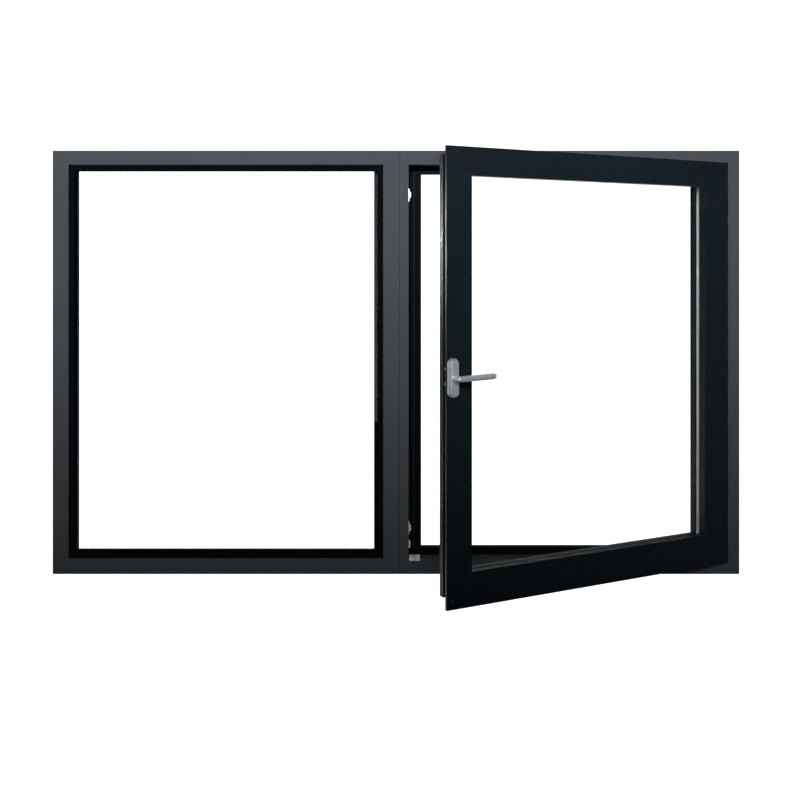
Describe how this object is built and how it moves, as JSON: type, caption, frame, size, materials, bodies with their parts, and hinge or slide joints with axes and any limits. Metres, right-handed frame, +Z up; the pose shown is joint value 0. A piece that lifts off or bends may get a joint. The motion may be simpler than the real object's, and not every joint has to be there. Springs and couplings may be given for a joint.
{
  "type": "casement window",
  "caption": "Aluminium window with a fixed light coupled to an inward-opening side-hung sash, whose lever handle drives locking cams through hidden rods.",
  "frame": {"origin": "underside of the sill, at mid-width of the whole window and mid-depth of its outer frame", "axes": "+X along the width towards the hinge side, +Y outdoors, +Z up"},
  "size_m": [2.1, 0.5582, 1.295],
  "materials": {
    "frame_paint": "fine-textured matt anthracite powder coat",
    "sash_paint": "smooth satin near-black powder coat",
    "bead_paint": "satin black powder coat",
    "polyamide": "black glass-filled polyamide",
    "seal_rubber": "matt black EPDM",
    "edge_sealant": "black sealant",
    "spacer_metal": "mill finish",
    "cleat_metal": "mill finish",
    "clear_glass": "clear float glass",
    "hardware_metal": "silver zinc-plated",
    "pin_steel": "polished",
    "screw_steel": "zinc-plated",
    "handle_silver": "satin silver"
  },
  "bodies": {
    "frame": {"fixed_head": "frame_paint", "fixed_sill": "frame_paint", "fixed_left_jamb": "frame_paint", "fixed_right_jamb": "frame_paint", "casement_head": "frame_paint", "casement_sill": "frame_paint", "casement_lock_jamb": "frame_paint", "casement_hinge_jamb": "frame_paint", "frame_thermal_breaks": "polyamide", "frame_corner_cleats": "cleat_metal", "coupling_seal": "seal_rubber", "coupling_screws": "screw_steel", "fixed_rail_beads": "bead_paint", "fixed_side_beads": "bead_paint", "fixed_pane_inner": "clear_glass", "fixed_pane_outer": "clear_glass", "fixed_spacer": "spacer_metal", "fixed_edge_seal": "edge_sealant", "fixed_gasket_inner": "seal_rubber", "fixed_gasket_outer": "seal_rubber", "fixed_setting_blocks": "polyamide", "stop_gasket": "seal_rubber", "keeper_upper": "hardware_metal", "keeper_lower": "hardware_metal", "alignment_block": "hardware_metal", "run_up_block": "hardware_metal", "hinge_frame_leaves": "hardware_metal", "hinge_pins": "pin_steel", "frame_hardware_screws": "screw_steel", "drain_caps": "frame_paint"},
    "sash": {"sash_top_rail": "sash_paint", "sash_bottom_rail": "sash_paint", "sash_lock_stile": "sash_paint", "sash_hinge_stile": "sash_paint", "sash_thermal_breaks": "polyamide", "sash_corner_cleats": "cleat_metal", "sash_rail_beads": "bead_paint", "sash_side_beads": "bead_paint", "sash_pane_inner": "clear_glass", "sash_pane_outer": "clear_glass", "sash_spacer": "spacer_metal", "sash_edge_seal": "edge_sealant", "sash_gasket_inner": "seal_rubber", "sash_gasket_outer": "seal_rubber", "overlap_gasket": "seal_rubber", "sash_setting_blocks": "polyamide", "hinge_sash_leaves": "hardware_metal", "hinge_sash_screws": "screw_steel", "rod_guides": "polyamide", "drive_guide": "hardware_metal", "handle_base": "handle_silver", "handle_cover": "handle_silver", "handle_screws": "screw_steel"},
    "handle": {"handle_lever": "handle_silver", "handle_pinion": "hardware_metal"},
    "upper_drive": {"upper_rack": "hardware_metal", "upper_rod": "hardware_metal"},
    "lower_drive": {"lower_rack": "hardware_metal", "lower_rod": "hardware_metal"}
  },
  "joints": [
    {"name": "sash_hinge", "type": "hinge", "parent": "frame", "child": "sash", "pos_m": [1.0055, -0.0425, 0.6475], "axis": [0, 0, 1], "range_deg": [-26, 64]},
    {"name": "handle_turn", "type": "hinge", "parent": "sash", "child": "handle", "pos_m": [0.15189, -0.47997, 0.64775], "axis": [-0.4384, 0.8988, 0], "range_deg": [0, 90]},
    {"name": "upper_rod_slide", "type": "slide", "parent": "sash", "child": "upper_drive", "axis": [0, 0, 1], "range_m": [0, 0.0126]},
    {"name": "lower_rod_slide", "type": "slide", "parent": "sash", "child": "lower_drive", "axis": [0, 0, -1], "range_m": [0, 0.0126]}
  ],
  "couplings": [
    {"joint": "upper_rod_slide", "follows": "handle_turn", "m_per_rad": 0.008},
    {"joint": "lower_rod_slide", "follows": "handle_turn", "m_per_rad": 0.008}
  ]
}
